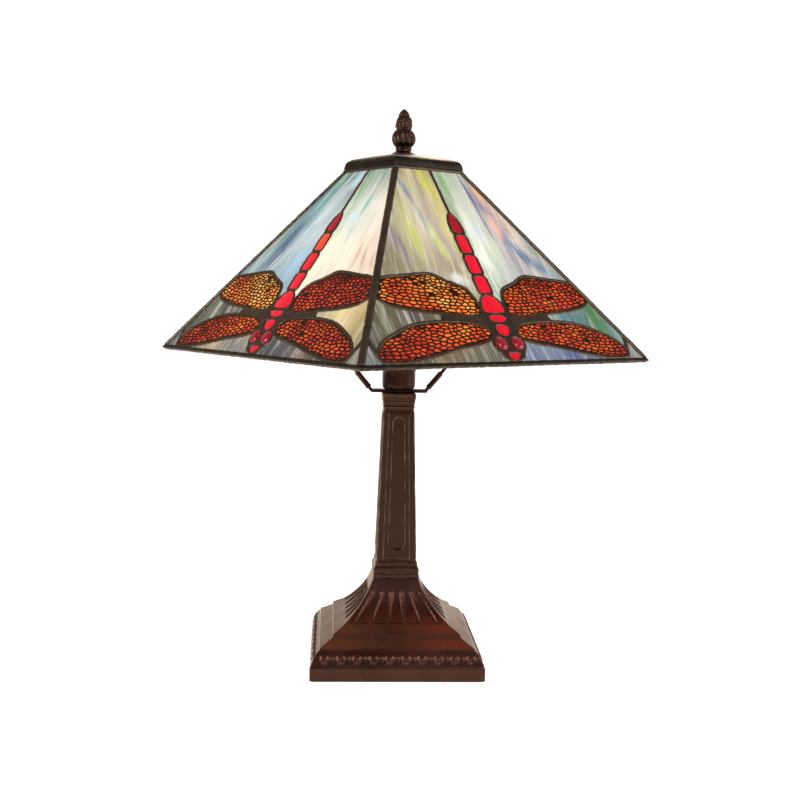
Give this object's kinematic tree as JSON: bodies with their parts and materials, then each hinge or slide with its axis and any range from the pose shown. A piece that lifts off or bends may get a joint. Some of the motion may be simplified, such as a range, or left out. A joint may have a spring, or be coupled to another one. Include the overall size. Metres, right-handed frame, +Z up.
{
  "type": "leaded-glass table lamp",
  "caption": "Table lamp with a square leaded-glass dragonfly shade on a harp, a tapered square column and a flared, fluted square base.",
  "frame": {"origin": "centre of the underside of the base", "axes": "+Z up along the lamp's axis, +X to the right seen from the front, the front of the base faces -Y and the cord leaves at +Y"},
  "size_m": [0.495, 0.495, 0.563],
  "materials": {
    "felt": "matte",
    "iron": "rough",
    "base_bronze": "patinated, satin",
    "column_bronze": "patinated, satin",
    "rubber": "matte",
    "brass": "aged satin",
    "harp_metal": "dark patina, satin",
    "ferrule_metal": "dark patina, satin",
    "insulator": "matte",
    "knob_plastic": "gloss",
    "bulb_metal": "satin",
    "bulb_glass": "frosted",
    "cap_bronze": "dark patina",
    "solder": "dark patina over solder",
    "overlay_metal": "dark patina",
    "background_glass": "opalescent, streaky, gloss",
    "wing_glass": "mottled, gloss",
    "red_glass": "gloss"
  },
  "bodies": {
    "stand": {"felt_pad": "felt", "base_weight": "iron", "base_casting": "base_bronze", "cord_bushing": "rubber", "pipe_washer": "brass", "pipe_locknut": "brass", "threaded_pipe": "brass", "column": "column_bronze", "column_collar": "column_bronze", "harp_saddle": "harp_metal", "harp_hoop": "harp_metal", "harp_stud": "brass", "socket_cup": "harp_metal", "socket_core": "insulator", "socket_shell": "harp_metal", "screw_shell": "brass", "centre_contact": "brass"},
    "shade": {"shade_seat": "brass", "shade_cap": "cap_bronze", "shade_top_ring": "cap_bronze", "shade_hips": "cap_bronze", "shade_rim": "cap_bronze", "leading_front_right": "solder", "leading_front_left": "solder", "leading_back_left": "solder", "leading_back_right": "solder", "glass_front_right": "background_glass", "glass_front_left": "background_glass", "glass_back_left": "background_glass", "glass_back_right": "background_glass", "wings_front_right": "wing_glass", "wings_front_left": "wing_glass", "wings_back_left": "wing_glass", "wings_back_right": "wing_glass", "filigree_front_right": "overlay_metal", "filigree_front_left": "overlay_metal", "filigree_back_left": "overlay_metal", "filigree_back_right": "overlay_metal", "body_front_right": "red_glass", "body_front_left": "red_glass", "body_back_left": "red_glass", "body_back_right": "red_glass", "eyes_front_right": "red_glass", "eyes_front_left": "red_glass", "eyes_back_left": "red_glass", "eyes_back_right": "red_glass"},
    "finial": {"finial": "cap_bronze"},
    "bulb": {"bulb_base": "bulb_metal", "bulb_contact": "knob_plastic", "bulb_glass": "bulb_glass"},
    "switch": {"switch_knob": "knob_plastic"},
    "ferrule_left": {"ferrule_left": "ferrule_metal"},
    "ferrule_right": {"ferrule_right": "ferrule_metal"}
  },
  "joints": [
    {"name": "shade_turn", "type": "hinge", "parent": "stand", "child": "shade", "pos_m": [0, 0, 0.507], "axis": [0, 0, 1], "continuous": true},
    {"name": "finial_turn", "type": "hinge", "parent": "stand", "child": "finial", "pos_m": [0, 0, 0.52], "axis": [0, 0, 1], "continuous": true},
    {"name": "bulb_turn", "type": "hinge", "parent": "stand", "child": "bulb", "pos_m": [0, 0, 0.33], "axis": [0, 0, 1], "continuous": true},
    {"name": "switch_turn", "type": "hinge", "parent": "stand", "child": "switch", "pos_m": [0, -0.03, 0.3123], "axis": [0, -1, 0], "continuous": true},
    {"name": "ferrule_left_slide", "type": "slide", "parent": "stand", "child": "ferrule_left", "axis": [-0.6428, 0, 0.766], "range_m": [0, 0.011]},
    {"name": "ferrule_right_slide", "type": "slide", "parent": "stand", "child": "ferrule_right", "axis": [0.6428, 0, 0.766], "range_m": [0, 0.011]}
  ]
}
